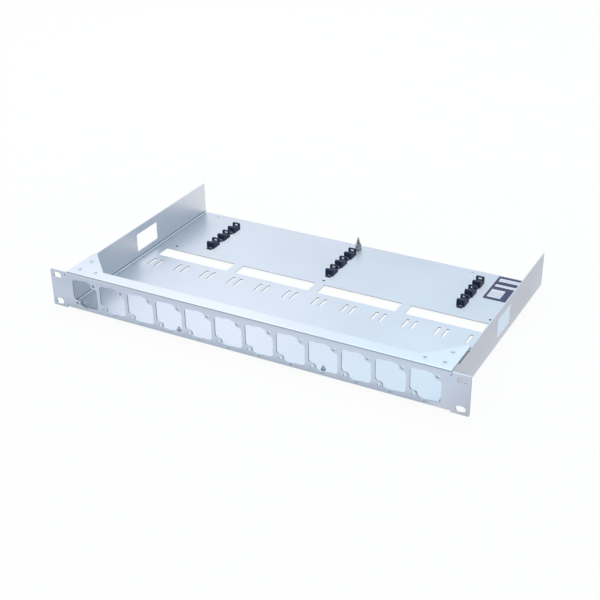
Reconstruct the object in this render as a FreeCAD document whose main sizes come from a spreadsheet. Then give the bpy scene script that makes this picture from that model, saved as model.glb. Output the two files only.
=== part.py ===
"""A 19-inch, one-unit rack shelf for twelve plug-in modules.

Two folded steel sheets are riveted together: a front panel with ears, flanges and corner gussets, and
an open tray. The tray's floor carries nine cable clips and an earth point.

Frame: millimetres. X runs along the panel, Y runs back from the panel's face, Z is up. The origin is
the middle of the four rack slots, on the panel's front face. The heights in the table are taken from
the panel's bottom edge, and each body is then lowered by half the panel's height.
"""
import FreeCAD, Part
import math
import os
import re
import Sketcher

V = FreeCAD.Vector

# Driving sizes: name, millimetres or count, what it is
SIZES = [
    ("panel_width", 482.6, "over both ears"),
    ("panel_height", 43.66, "one rack unit less its gap"),
    ("panel_sheet", 1.5, "sheet of the front panel"),
    ("panel_fold", 2.0, "inner radius of the panel's folds"),
    ("ear_width", 20.3, "from the panel's end to the folds"),
    ("relief_gap", 1.5, "notch between a fold and its ear"),
    ("relief_past", 0.6, "how far the notch runs past the fold"),
    ("ear_corner", 1.5, "radius of the ear's corners"),
    ("slot_in", 8.75, "rack slot's middle from the panel's end"),
    ("slot_rise", 5.955, "rack slot's middle from the panel's top or bottom edge"),
    ("slot_long", 10.0, "rack slot along X"),
    ("slot_high", 7.0, "rack slot along Z"),
    ("top_flange", 17.2, "top flange, from the face back"),
    ("bottom_flange", 20.0, "bottom flange, from the face back"),
    ("gusset_run", 37.5, "gusset along X at the flange"),
    ("gusset_back", 52.3, "gusset's tip, from the face back"),
    ("gusset_tip", 3.0, "width of the gusset's blunt tip"),
    ("bay_wide", 31.8, "module opening along X"),
    ("bay_high", 30.6, "module opening along Z at its sides"),
    ("bay_bar", 4.0, "bar between two openings"),
    ("bay_margin", 6.0, "least width of the folded strip beside the openings"),
    ("bay_up", 0.17, "openings' middle over the panel's middle"),
    ("bay_bulge", 0.8, "how far the opening's round part runs over its sides"),
    ("bay_corner", 4.0, "radius of the opening's plain corners"),
    ("bay_blend", 3.2, "radius beside each screw lug"),
    ("lug_in", 3.9, "module screw inside the opening's side"),
    ("lug_down", 2.3, "module screw below the opening's top"),
    ("lug_radius", 4.0, "screw lug"),
    ("lug_hole", 3.4, "clearance hole for the module screw"),
    ("tray_over", 0.5, "side wall outside the end of the folds"),
    ("tray_depth", 278.0, "rear edge, from the panel's face"),
    ("tray_sheet", 1.0, "sheet of the tray"),
    ("tray_fold", 1.0, "inner radius of the tray's folds"),
    ("tray_gap", 0.3, "tray's front edge behind the panel's folds"),
    ("wall_drop", 0.5, "wall's free top below its bent tab"),
    ("tab_front", 1.2, "tab's front edge behind the panel's fold"),
    ("tab_inset", 3.0, "tab's slanted edge inside the gusset's"),
    ("tab_short", 6.3, "tab's rear end ahead of the gusset's tip"),
    ("tab_relief", 2.0, "notch behind the tab's fold"),
    ("wall_window_long", 40.0, "side wall window along Y"),
    ("wall_window_high", 21.6, "side wall window along Z"),
    ("wall_window_rise", 8.5, "side wall window over the floor"),
    ("wall_window_ahead", 8.5, "side wall window's middle ahead of the floor windows'"),
    ("window_count", 4, "floor windows"),
    ("window_rim", 15.25, "floor left between a side wall and the nearest window"),
    ("window_bar", 11.1, "floor left between two windows"),
    ("window_deep", 20.0, "floor window along Y"),
    ("window_ahead", 8.5, "floor windows ahead of the plain holes behind them"),
    ("tie_gap", 9.6, "between the middles of a module's two tie slots"),
    ("tie_wide", 3.0, "tie slot's width"),
    ("tie_long", 18.0, "tie slot's length"),
    ("tie_ahead", 9.5, "tie slots ahead of the floor windows"),
    ("spare_hole", 3.2, "plain holes in the floor"),
    ("spare_in", 23.5, "plain holes from the side wall"),
    ("spare_ahead", 13.0, "plain holes ahead of the first clips"),
    ("spare_rear", 7.0, "plain holes from the rear edge"),
    ("spare_odd_in", 78.5, "single plain hole from the right side wall"),
    ("rivet_shank", 3.2, "blind rivet's body"),
    ("rivet_fit", 0.1, "rivet hole over the body"),
    ("rivet_head", 5.8, "low domed head on the gussets"),
    ("rivet_dome", 0.7, "height of the domed head"),
    ("rivet_sink", 6.0, "flush head under the floor"),
    ("rivet_bulb", 5.2, "set tail of the rivet"),
    ("rivet_bulb_long", 1.9, "length of the set tail"),
    ("rivet_soft", 0.6, "chamfer round the set tail"),
    ("rivet_pin", 2.4, "broken pin in the tail"),
    ("rivet_pin_long", 2.3, "how far the pin stands out of the tail"),
    ("rivet_row_in", 4.5, "front gusset rivets ahead of the flange's rear edge"),
    ("rivet_rear_in", 19.8, "rear gusset rivet ahead of the gusset's tip"),
    ("rivet_outer_in", 10.7, "outer gusset rivets from the end of the folds"),
    ("rivet_inner_in", 6.7, "inner gusset rivets from the gusset's inner end"),
    ("floor_rivet_in", 11.0, "outer floor rivets from the end of the folds"),
    ("floor_rivet_gap", 125.2, "from an outer floor rivet to the next one"),
    ("floor_rivet_back", 9.6, "floor rivets ahead of the flange's rear edge"),
    ("clip_columns", 3, "rows of clips across the floor"),
    ("clip_rows", 3, "clips one behind another"),
    ("clip_in", 62.5, "outer clips' middle from the side wall"),
    ("clip_pitch_y", 24.0, "clips, spacing front to back"),
    ("clip_rear", 40.0, "front of the last clips from the tray's rear edge"),
    ("clip_wide", 8.4, "clip along X"),
    ("clip_long", 14.4, "clip along Y"),
    ("clip_jaw", 7.8, "height of the clip's front jaw"),
    ("clip_jaw_long", 3.4, "top of the front jaw along Y"),
    ("clip_jaw_edge", 0.8, "chamfer along the front of the jaw"),
    ("clip_seat", 4.2, "height of the clip's seat at its lowest"),
    ("clip_eye", 8.6, "height of the clip's rear eye"),
    ("clip_eye_long", 2.6, "rear eye along Y"),
    ("arch_wide", 5.2, "arch under the front jaw along X"),
    ("arch_high", 1.3, "arch under the front jaw along Z"),
    ("eye_wide", 5.2, "window in the rear eye along X"),
    ("eye_high", 3.2, "window in the rear eye along Z"),
    ("eye_rim", 1.0, "rim over the eye's window"),
    ("eye_round", 1.3, "round top corners of the eye"),
    ("clip_pin", 3.0, "snap pin through the floor"),
    ("clip_pin_back", 2.4, "snap pin's middle behind the front jaw"),
    ("clip_pin_fit", 0.3, "floor hole over the snap pin"),
    ("clip_barb", 3.9, "barbed end of the snap pin"),
    ("clip_barb_long", 0.9, "length of the barbed end"),
    ("stud_rear", 11.0, "earth stud from the tray's rear edge"),
    ("stud_thread", 4.0, "earth stud's thread"),
    ("stud_fit", 0.2, "holes over the earth stud"),
    ("stud_long", 16.5, "earth stud above the floor"),
    ("stud_head", 7.6, "flush head pressed into the floor"),
    ("stud_point", 0.6, "chamfer at the stud's end"),
    ("washer_wide", 8.8, "plain washer"),
    ("washer_thick", 0.8, "plain washer's thickness"),
    ("lock_wide", 8.0, "toothed washer"),
    ("lock_thick", 0.6, "toothed washer's thickness"),
    ("lock_teeth", 8, "teeth of the lock washer"),
    ("lock_notch", 1.1, "notch between two teeth"),
    ("nut_flats", 7.0, "nut across its flats"),
    ("nut_high", 3.2, "nut's height"),
    ("nut_face", 6.6, "round top face inside the nut's chamfer"),
]

# Sizes that follow from the driving sizes: name, formula, what it is
DERIVED = [
    ("half_panel", "panel_width / 2", "panel's end"),
    ("fold_width", "panel_width - 2 * ear_width", "length of the panel's two folds"),
    ("half_fold", "fold_width / 2", "end of the folds"),
    ("fold_outer", "panel_fold + panel_sheet", "outer radius of the panel's folds"),
    ("notch_end", "fold_outer + relief_past", "depth of the relief notches"),
    ("ear_start", "half_fold + relief_gap", "where the ear starts"),
    ("slot_x", "half_panel - slot_in", "rack slots from the middle"),
    ("gusset_in", "half_fold - gusset_run", "inner end of a gusset"),
    ("bay_half_x", "bay_wide / 2", "half the opening's width"),
    ("bay_half_z", "bay_high / 2", "half the opening's height at its sides"),
    ("bay_round", "bay_half_z + bay_bulge", "radius of the round part of the opening"),
    ("bay_pitch", "bay_wide + bay_bar", "module openings, spacing"),
    ("bay_count", "floor((fold_width - 2 * bay_margin) / bay_pitch)", "openings that fit between the ears"),
    ("bay_middle", "panel_height / 2 + bay_up", "height of the openings' middle"),
    ("bay_first", "-(bay_count - 1) * bay_pitch / 2", "middle of the leftmost opening"),
    ("lug_x", "bay_half_x - lug_in", "module screw from the opening's middle, across"),
    ("lug_z", "bay_half_z - lug_down", "module screw from the opening's middle, up"),
    ("rivet_hole", "rivet_shank + rivet_fit", "hole for a rivet"),
    ("rivet_grip", "panel_sheet + tray_sheet", "the two sheets that a rivet joins"),
    ("rivet_row", "top_flange - rivet_row_in", "front gusset rivets from the face"),
    ("rivet_rear", "gusset_back - rivet_rear_in", "rear gusset rivet from the face"),
    ("rivet_outer_x", "half_fold - rivet_outer_in", "outer gusset rivets from the middle"),
    ("rivet_inner_x", "gusset_in + rivet_inner_in", "inner gusset rivets from the middle"),
    ("floor_rivet_outer", "half_fold - floor_rivet_in", "outer floor rivets from the middle"),
    ("floor_rivet_inner", "floor_rivet_outer - floor_rivet_gap", "inner floor rivets from the middle"),
    ("floor_rivet_y", "bottom_flange - floor_rivet_back", "floor rivets from the face"),
    ("tray_half", "half_fold + tray_over", "outer face of a side wall"),
    ("tray_outer", "tray_fold + tray_sheet", "outer radius of the tray's folds"),
    ("tray_base", "panel_sheet", "underside of the tray, on the bottom flange"),
    ("tray_floor", "tray_base + tray_sheet", "top of the tray's floor"),
    ("tray_front", "fold_outer + tray_gap", "tray's front edge"),
    ("tab_top", "panel_height - panel_sheet", "top of the tabs, under the gussets"),
    ("wall_top", "tab_top - wall_drop", "free top of the side walls"),
    ("tab_start", "fold_outer + tab_front", "front edge of a tab"),
    ("tab_back", "gusset_back - tab_short", "tab's rear end from the face"),
    ("clip_y", "tray_depth - clip_rear - (clip_rows - 1) * clip_pitch_y", "front of the first clips"),
    ("clip_pitch_x", "2 * (tray_half - clip_in) / (clip_columns - 1)", "clip rows, spacing across"),
    ("clip_seat_y", "clip_long - clip_eye_long", "front face of the clip's eye"),
    ("clip_pin_y", "clip_jaw_long + clip_pin_back", "snap pin's middle from the clip's front"),
    ("spare_y", "clip_y - spare_ahead", "row of plain holes behind the windows"),
    ("spare_x", "tray_half - spare_in", "plain holes from the middle"),
    ("spare_odd_x", "tray_half - spare_odd_in", "single plain hole from the middle"),
    ("spare_rear_y", "tray_depth - spare_rear", "plain holes near the rear edge"),
    ("window_y", "spare_y - window_ahead - window_deep / 2", "floor windows' middle from the face"),
    ("window_row", "2 * (tray_half - window_rim)", "all floor windows along X"),
    ("window_long", "(window_row - (window_count - 1) * window_bar) / window_count", "floor window"),
    ("window_pitch", "window_long + window_bar", "floor windows, spacing"),
    ("tie_y", "window_y - window_deep / 2 - tie_ahead - tie_long / 2", "tie slots' middle"),
    ("wall_window_y", "window_y - wall_window_ahead", "side wall window's middle from the face"),
    ("wall_window_z", "tray_floor + wall_window_rise + wall_window_high / 2", "side wall window's middle"),
    ("stud_y", "tray_depth - stud_rear", "earth stud from the face"),
]

SINK_ANGLE = 120
BARB_TAPER = -20
NUT_CHAMFER = 30
TINY = 0.01


def make_sheet(doc):
    """the table of sizes, with an alias for each"""
    sheet = doc.addObject("Spreadsheet::Sheet", "sz")
    sheet.Label = "sizes"
    row = 1
    for name, value, note in SIZES:
        sheet.set(f"A{row}", name)
        sheet.set(f"B{row}", str(value))
        sheet.set(f"C{row}", note)
        sheet.setAlias(f"B{row}", name)
        row += 1
    for name, formula, note in DERIVED:
        sheet.set(f"A{row}", name)
        sheet.set(f"B{row}", "=" + formula)
        sheet.set(f"C{row}", note)
        sheet.setAlias(f"B{row}", name)
        row += 1
    doc.recompute()
    return sheet


doc = FreeCAD.newDocument("rack_shelf")
sizes = make_sheet(doc)
NAMES = [entry[0] for entry in SIZES + DERIVED]


def size(name):
    """the present value of a size"""
    return float(sizes.get(name))


def bound(text):
    """a formula of size names, written for an object outside the sheet"""
    return re.sub(r"[a-z_]+", lambda word: "sz." + word[0] if word[0] in NAMES else word[0], text)


def number(text):
    """the present value of a formula of size names"""
    return float(sizes.evalExpression(bound(text)))


def new_body(label):
    """an empty body whose label names its file"""
    body = doc.addObject("PartDesign::Body", label)
    body.Label = label
    return body


def origin_plane(body, role):
    """one of the body's own origin planes or axes"""
    return next(item for item in body.Origin.OriginFeatures if item.Role == role)


def new_sketch(body, name, role, offset="0"):
    """a sketch on one of the body's planes, moved along the plane's normal"""
    sketch = body.newObject("Sketcher::SketchObject", name)
    sketch.AttachmentSupport = [(origin_plane(body, role), "")]
    sketch.MapMode = "FlatFace"
    sketch.setExpression("AttachmentOffset.Base.z", bound(offset))
    return sketch


def hold(sketch, geometry, position, x, y):
    """hold a point of the sketch at two formulas"""
    for kind, axis, text in (("DistanceX", -2, x), ("DistanceY", -1, y)):
        if text == "0":
            sketch.addConstraint(Sketcher.Constraint("PointOnObject", geometry, position, axis))
            continue
        place = sketch.addConstraint(
            Sketcher.Constraint(kind, -1, 1, geometry, position, number(text)))
        sketch.setExpression(f"Constraints[{place}]", bound(text))


def outline(sketch, corners):
    """a closed outline; a corner with a centre and a turn starts an arc, any other a straight line"""
    points = [V(number(corner[0]), number(corner[1]), 0) for corner in corners]
    first = sketch.GeometryCount
    ends = []
    for index, corner in enumerate(corners):
        start = points[index]
        stop = points[(index + 1) % len(points)]
        if len(corner) == 2:
            sketch.addGeometry(Part.LineSegment(start, stop), False)
            ends.append((1, 2))
            continue
        centre = V(number(corner[2]), number(corner[3]), 0)
        turn = corner[4]
        begin, finish = (start, stop) if turn > 0 else (stop, start)
        angles = [math.atan2(p.y - centre.y, p.x - centre.x) for p in (begin, finish)]
        if angles[1] <= angles[0]:
            angles[1] += 2 * math.pi
        circle = Part.Circle(centre, V(0, 0, 1), (start - centre).Length)
        sketch.addGeometry(Part.ArcOfCircle(circle, *angles), False)
        ends.append((1, 2) if turn > 0 else (2, 1))
    count = len(corners)
    for index in range(count):
        nxt = (index + 1) % count
        sketch.addConstraint(Sketcher.Constraint(
            "Coincident", first + index, ends[index][1], first + nxt, ends[nxt][0]))
        hold(sketch, first + index, ends[index][0], corners[index][0], corners[index][1])
    for index, corner in enumerate(corners):
        if len(corner) == 2:
            continue
        chord = points[(index + 1) % count] - points[index]
        kind, axis, text = ("DistanceX", -2, corner[2])
        if abs(chord.x) > abs(chord.y):
            kind, axis, text = ("DistanceY", -1, corner[3])
        if text == "0":
            sketch.addConstraint(Sketcher.Constraint("PointOnObject", first + index, 3, axis))
            continue
        place = sketch.addConstraint(
            Sketcher.Constraint(kind, -1, 1, first + index, 3, number(text)))
        sketch.setExpression(f"Constraints[{place}]", bound(text))


def rectangle(sketch, left, right, low, high):
    """a closed box between four formulas"""
    outline(sketch, [(left, low), (right, low), (right, high), (left, high)])


def circle(sketch, x, y, width):
    """a round outline of a given diameter"""
    place = sketch.addGeometry(
        Part.Circle(V(number(x), number(y), 0), V(0, 0, 1), number(width) / 2), False)
    hold(sketch, place, 3, x, y)
    row = sketch.addConstraint(Sketcher.Constraint("Diameter", place, number(width)))
    sketch.setExpression(f"Constraints[{row}]", bound(width))


def stadium(sketch, x, y, long_x, long_y):
    """a slot with round ends along its longer way"""
    if number(long_x) > number(long_y):
        reach = f"( {long_x} - {long_y} ) / 2"
        half = f"{long_y} / 2"
        left, right = f"{x} - {reach}", f"{x} + {reach}"
        low, high = f"{y} - {half}", f"{y} + {half}"
        outline(sketch, [(left, low), (right, low, right, y, 1), (right, high), (left, high, left, y, 1)])
        return
    reach = f"( {long_y} - {long_x} ) / 2"
    half = f"{long_x} / 2"
    left, right = f"{x} - {half}", f"{x} + {half}"
    low, high = f"{y} - {reach}", f"{y} + {reach}"
    outline(sketch, [(left, low, x, low, 1), (right, low), (right, high, x, high, 1), (left, high)])


def feature(body, kind, name, sketch, length=None, side="One side", reverse=False):
    """a pad or pocket of a sketch, along the sketch's normal or against it"""
    item = body.newObject(f"PartDesign::{kind}", name)
    item.Profile = sketch
    item.SideType = side
    item.Reversed = reverse
    if length is None:
        item.Type = "ThroughAll"
    else:
        item.setExpression("Length", bound(length))
    body.Tip = item
    doc.recompute()
    return item


def row_of(body, name, original, axis, pitch, count):
    """copies of a feature in a row"""
    pattern = body.newObject("PartDesign::LinearPattern", name)
    pattern.Originals = [original]
    pattern.Direction = (origin_plane(body, axis), [""])
    pattern.Mode = "Spacing"
    pattern.setExpression("Offset", bound(pitch))
    pattern.setExpression("Occurrences", bound(count))
    body.Tip = pattern
    doc.recompute()
    return pattern


def cut_check(body, before, name):
    """stop if a cut took nothing away"""
    if body.Shape.Volume > before - TINY:
        raise RuntimeError(f"{name} cuts nothing")


def cut(body, name, sketch, length=None, side="One side", reverse=False):
    """a pocket that must take something away"""
    before = body.Shape.Volume
    item = feature(body, "Pocket", name, sketch, length, side, reverse)
    cut_check(body, before, name)
    return item


def panel_strip(body):
    """the face between the ears with both flanges, folded from one sheet"""
    sketch = new_sketch(body, "strip_section", "YZ_Plane")
    high = "panel_height"
    outline(sketch, [
        ("bottom_flange", "0"),
        ("bottom_flange", "panel_sheet"),
        ("fold_outer", "panel_sheet", "fold_outer", "fold_outer", -1),
        ("panel_sheet", "fold_outer"),
        ("panel_sheet", f"{high} - fold_outer", "fold_outer", f"{high} - fold_outer", -1),
        ("fold_outer", f"{high} - panel_sheet"),
        ("top_flange", f"{high} - panel_sheet"),
        ("top_flange", high),
        ("fold_outer", high, "fold_outer", f"{high} - fold_outer", 1),
        ("0", f"{high} - fold_outer"),
        ("0", "fold_outer", "fold_outer", "fold_outer", 1),
        ("fold_outer", "0"),
    ])
    feature(body, "Pad", "strip", sketch, "fold_width", side="Symmetric")


def panel_plate(body):
    """the flat of the face out to the ears, with a notch at each end of each fold"""
    sketch = new_sketch(body, "plate_outline", "XZ_Plane")
    top = "panel_height"
    notch_top = f"{top} - notch_end"
    out = "half_panel"
    outline(sketch, [
        ("- ear_start", "0"),
        ("- ear_start", "notch_end"),
        ("ear_start", "notch_end"),
        ("ear_start", "0"),
        (f"{out} - ear_corner", "0", f"{out} - ear_corner", "ear_corner", 1),
        (out, "ear_corner"),
        (out, f"{top} - ear_corner", f"{out} - ear_corner", f"{top} - ear_corner", 1),
        (f"{out} - ear_corner", top),
        ("ear_start", top),
        ("ear_start", notch_top),
        ("- ear_start", notch_top),
        ("- ear_start", top),
        (f"- {out} + ear_corner", top, f"- {out} + ear_corner", f"{top} - ear_corner", 1),
        (f"- {out}", f"{top} - ear_corner"),
        (f"- {out}", "ear_corner", f"- {out} + ear_corner", "ear_corner", 1),
        (f"- {out} + ear_corner", "0"),
    ])
    feature(body, "Pad", "plate", sketch, "panel_sheet", reverse=True)


def panel_gussets(body):
    """the two corner gussets, level with the top flange"""
    sketch = new_sketch(body, "gusset_outlines", "XY_Plane", "panel_height - panel_sheet")
    for way in ("", "- "):
        outline(sketch, [
            (f"{way}gusset_in", "fold_outer"),
            (f"{way}half_fold", "fold_outer"),
            (f"{way}half_fold", "gusset_back"),
            (f"{way}( half_fold - gusset_tip )", "gusset_back"),
            (f"{way}gusset_in", "top_flange"),
        ])
    feature(body, "Pad", "gussets", sketch, "panel_sheet")


def bay_outline(sketch, x):
    """one module opening: a rounded square joined with a round, less two screw lugs"""
    side = "bay_half_x"
    flat = "bay_half_z"
    lug_side = "( lug_x - lug_radius )"
    lug_foot = "( lug_z - lug_radius )"
    reach = "sqrt(bay_round ^ 2 - bay_half_z ^ 2 )"
    rise = f"sqrt(bay_round ^ 2 - {lug_side} ^ 2 )"
    half = [
        (side, f"- ( {flat} - bay_corner )"),
        (side, f"{lug_foot} - bay_blend", f"{side} - bay_blend", f"{lug_foot} - bay_blend", 1),
        (f"{side} - bay_blend", lug_foot),
        ("lug_x", lug_foot, "lug_x", "lug_z", -1),
        (lug_side, "lug_z"),
        (lug_side, rise, "0", "0", 1),
        (f"- {reach}", flat),
        (f"- ( {side} - bay_corner )", flat,
         f"- ( {side} - bay_corner )", f"{flat} - bay_corner", 1),
    ]
    corners = []
    for turned in (False, True):
        for corner in half:
            spots = [f"- ( {text} )" if turned else text for text in corner[:2]]
            if len(corner) == 5:
                spots += [f"- ( {text} )" if turned else text for text in corner[2:4]]
            for place in range(0, len(spots), 2):
                spots[place] = f"{x} + ( {spots[place]} )"
                spots[place + 1] = f"bay_middle + ( {spots[place + 1]} )"
            corners.append(tuple(spots) + tuple(corner[4:]))
    outline(sketch, corners)
    for way in ("+", "-"):
        circle(sketch, f"{x} {way} lug_x", f"bay_middle {way} lug_z", "lug_hole")


def panel_openings(body):
    """the module openings, the rack slots and the rivet holes"""
    bay = new_sketch(body, "bay_outline", "XZ_Plane")
    bay_outline(bay, "bay_first")
    first = cut(body, "bay", bay, side="Symmetric")
    row_of(body, "bays", first, "X_Axis", "bay_pitch", "bay_count")

    slots = new_sketch(body, "slot_outlines", "XZ_Plane")
    for x in ("- slot_x", "slot_x"):
        for z in ("slot_rise", "panel_height - slot_rise"):
            stadium(slots, x, z, "slot_long", "slot_high")
    cut(body, "slots", slots, side="Symmetric")

    holes = new_sketch(body, "gusset_rivet_holes", "XY_Plane", "panel_height")
    for x, y in gusset_rivet_places():
        circle(holes, x, y, "rivet_hole")
    cut(body, "gusset_holes", holes, "panel_sheet")

    sunk = new_sketch(body, "floor_rivet_holes", "XY_Plane")
    for x in floor_rivet_places():
        circle(sunk, x, "floor_rivet_y", "rivet_hole")
    hole = body.newObject("PartDesign::Hole", "sunk_holes")
    hole.Profile = sunk
    hole.Reversed = True
    hole.DepthType = "Dimension"
    hole.DrillPoint = "Flat"
    hole.HoleCutType = "Countersink"
    hole.HoleCutCustomValues = True
    hole.HoleCutCountersinkAngle = SINK_ANGLE
    hole.setExpression("Diameter", bound("rivet_hole"))
    hole.setExpression("HoleCutDiameter", bound("rivet_sink + rivet_fit"))
    hole.setExpression("Depth", bound("panel_sheet"))
    before = body.Shape.Volume
    body.Tip = hole
    doc.recompute()
    cut_check(body, before, "sunk_holes")


def gusset_rivet_places():
    """left then right: outer front, inner front and rear rivet"""
    places = []
    for way in ("- ", ""):
        places.append((f"{way}rivet_outer_x", "rivet_row"))
        places.append((f"{way}rivet_inner_x", "rivet_row"))
        places.append((f"{way}rivet_outer_x", "rivet_rear"))
    return places


def floor_rivet_places():
    """from left to right"""
    return ["- floor_rivet_outer", "- floor_rivet_inner", "floor_rivet_inner", "floor_rivet_outer"]


def make_panel():
    """the front panel: one folded sheet"""
    body = new_body("front_panel")
    panel_strip(body)
    panel_plate(body)
    panel_gussets(body)
    panel_openings(body)
    put(body, "0", "0", "0")
    return body


def tray_section(body):
    """floor and side walls, folded from one sheet"""
    sketch = new_sketch(body, "tray_section", "XZ_Plane", "- tray_front")
    wall = "tray_half"
    inner = "( tray_half - tray_sheet )"
    bend = "( tray_half - tray_outer )"
    rise = "tray_base + tray_outer"
    outline(sketch, [
        (f"- {wall}", "wall_top"),
        (f"- {wall}", rise, f"- {bend}", rise, 1),
        (f"- {bend}", "tray_base"),
        (bend, "tray_base", bend, rise, 1),
        (wall, rise),
        (wall, "wall_top"),
        (inner, "wall_top"),
        (inner, rise, bend, rise, -1),
        (bend, "tray_floor"),
        (f"- {bend}", "tray_floor", f"- {bend}", rise, -1),
        (f"- {inner}", rise),
        (f"- {inner}", "wall_top"),
    ])
    feature(body, "Pad", "tray_folded", sketch, "tray_depth - tray_front", reverse=True)


def tray_tabs(body):
    """the walls' front tops, bent in to carry the gussets"""
    base = "( tab_top - tray_outer )"
    room = new_sketch(body, "tab_room", "XY_Plane", "panel_height")
    for way in ("", "- "):
        rectangle(room, f"{way}( tray_half - 2 * tray_sheet )", f"{way}( tray_half + tray_sheet )",
                  "tray_front - tray_sheet", "tab_back + tab_relief")
    cut(body, "tab_room_cut", room, f"panel_height - {base} + tray_sheet")

    bend = new_sketch(body, "tab_bend", "XZ_Plane", "- tab_start")
    for way, turn in (("", 1), ("- ", -1)):
        outline(bend, [
            (f"{way}tray_half", f"{base} - tray_sheet"),
            (f"{way}tray_half", base, f"{way}( tray_half - tray_outer )", base, turn),
            (f"{way}( tray_half - tray_outer )", "tab_top"),
            (f"{way}( tray_half - tray_outer - tray_sheet )", "tab_top"),
            (f"{way}( tray_half - tray_outer - tray_sheet )", "tab_top - tray_sheet"),
            (f"{way}( tray_half - tray_outer )", "tab_top - tray_sheet",
             f"{way}( tray_half - tray_outer )", base, -turn),
            (f"{way}( tray_half - tray_sheet )", base),
            (f"{way}( tray_half - tray_sheet )", f"{base} - tray_sheet"),
        ])
    feature(body, "Pad", "tab_bends", bend, "tab_back - tab_start", reverse=True)

    plate = new_sketch(body, "tab_outlines", "XY_Plane", "tab_top - tray_sheet")
    slope = "( gusset_back - top_flange ) / ( gusset_run - gusset_tip )"
    inside = "( gusset_in + tab_inset )"
    for way in ("", "- "):
        outline(plate, [
            (f"{way}{inside}", "tab_start"),
            (f"{way}( tray_half - tray_outer )", "tab_start"),
            (f"{way}( tray_half - tray_outer )", "tab_back"),
            (f"{way}( {inside} + ( tab_back - top_flange ) / ( {slope} ) )", "tab_back"),
            (f"{way}{inside}", "top_flange"),
        ])
    feature(body, "Pad", "tabs", plate, "tray_sheet")


def tray_openings(body):
    """windows, tie slots and holes"""
    windows = new_sketch(body, "window_outline", "XY_Plane")
    middle = "- ( window_count - 1 ) * window_pitch / 2"
    rectangle(windows, f"{middle} - window_long / 2", f"{middle} + window_long / 2",
              "window_y - window_deep / 2", "window_y + window_deep / 2")
    first = cut(body, "window", windows, "tray_floor", reverse=True)
    row_of(body, "windows", first, "X_Axis", "window_pitch", "window_count")

    walls = new_sketch(body, "wall_window_outline", "YZ_Plane")
    rectangle(walls, "wall_window_y - wall_window_long / 2", "wall_window_y + wall_window_long / 2",
              "wall_window_z - wall_window_high / 2", "wall_window_z + wall_window_high / 2")
    cut(body, "wall_windows", walls, side="Symmetric")

    ties = new_sketch(body, "tie_outlines", "XY_Plane")
    for way in ("+", "-"):
        x = f"bay_first {way} tie_gap / 2"
        stadium(ties, x, "tie_y", "tie_wide", "tie_long")
    pair = cut(body, "tie_pair", ties, "tray_floor", reverse=True)
    row_of(body, "tie_pairs", pair, "X_Axis", "bay_pitch", "bay_count")

    holes = new_sketch(body, "floor_holes", "XY_Plane")
    for x in ("- spare_x", "0", "spare_x"):
        circle(holes, x, "spare_y", "spare_hole")
    circle(holes, "- spare_x", "spare_rear_y", "spare_hole")
    circle(holes, "spare_odd_x", "spare_rear_y", "spare_hole")
    circle(holes, "0", "stud_y", "stud_head")
    for x, y in clip_places():
        circle(holes, x, f"{y} + clip_pin_y", "clip_pin + clip_pin_fit")
    for x in floor_rivet_places():
        circle(holes, x, "floor_rivet_y", "rivet_hole")
    cut(body, "holes", holes, "tray_floor", reverse=True)

    tabs = new_sketch(body, "tab_rivet_holes", "XY_Plane", "tab_top")
    for x, y in gusset_rivet_places():
        circle(tabs, x, y, "rivet_hole")
    cut(body, "tab_holes", tabs, "tray_sheet")


def make_tray():
    """the tray: one folded sheet"""
    body = new_body("tray")
    tray_section(body)
    tray_tabs(body)
    tray_openings(body)
    put(body, "0", "0", "0")
    return body


def clip_places():
    """middle of each clip along X and its front face along Y"""
    places = []
    for column in range(int(size("clip_columns"))):
        for place in range(int(size("clip_rows"))):
            x = f"( {column} - ( clip_columns - 1 ) / 2 ) * clip_pitch_x"
            places.append((x, f"clip_y + {place} * clip_pitch_y"))
    return places


def revolved(label, corners):
    """a turned piece: half its section beside the Z axis, turned once round"""
    body = new_body(label)
    sketch = new_sketch(body, f"{label}_section", "XZ_Plane")
    outline(sketch, corners)
    turn = body.newObject("PartDesign::Revolution", f"{label}_turned")
    turn.Profile = sketch
    turn.ReferenceAxis = (sketch, ["V_Axis"])
    body.Tip = turn
    doc.recompute()
    return body


def put(body, x, y, z):
    """place a body at formulas of size names, its height taken from the panel's bottom edge"""
    for way, text in (("x", x), ("y", y), ("z", f"{z} - panel_height / 2")):
        body.setExpression(f"Placement.Base.{way}", bound(text))


def gusset_rivet(label, x, y):
    """a blind rivet with a low domed head, its tail under the tab; z = 0 is the gusset's top"""
    dome = "( rivet_head ^ 2 / 4 - rivet_dome ^ 2 ) / ( 2 * rivet_dome )"
    body = revolved(label, [
        ("0", "- rivet_grip - rivet_bulb_long"),
        ("rivet_bulb / 2 - rivet_soft", "- rivet_grip - rivet_bulb_long"),
        ("rivet_bulb / 2", "- rivet_grip - rivet_bulb_long + rivet_soft"),
        ("rivet_bulb / 2", "- rivet_grip"),
        ("rivet_shank / 2", "- rivet_grip"),
        ("rivet_shank / 2", "0"),
        ("rivet_head / 2", "0", "0", f"- {dome}", 1),
        ("0", "rivet_dome"),
    ])
    put(body, x, y, "panel_height")
    return body


def floor_rivet(label, x):
    """a blind rivet with a flush head below, its tail and pin above; z = 0 is the underside"""
    sink = f"( rivet_sink - rivet_shank ) / 2 / tan({SINK_ANGLE / 2} deg)"
    body = revolved(label, [
        ("0", "0"),
        ("rivet_sink / 2", "0"),
        ("rivet_shank / 2", sink),
        ("rivet_shank / 2", "rivet_grip"),
        ("rivet_bulb / 2", "rivet_grip"),
        ("rivet_bulb / 2", "rivet_grip + rivet_bulb_long - rivet_soft"),
        ("rivet_bulb / 2 - rivet_soft", "rivet_grip + rivet_bulb_long"),
        ("rivet_pin / 2", "rivet_grip + rivet_bulb_long"),
        ("rivet_pin / 2", "rivet_grip + rivet_bulb_long + rivet_pin_long"),
        ("0", "rivet_grip + rivet_bulb_long + rivet_pin_long"),
    ])
    put(body, x, "floor_rivet_y", "0")
    return body


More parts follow.
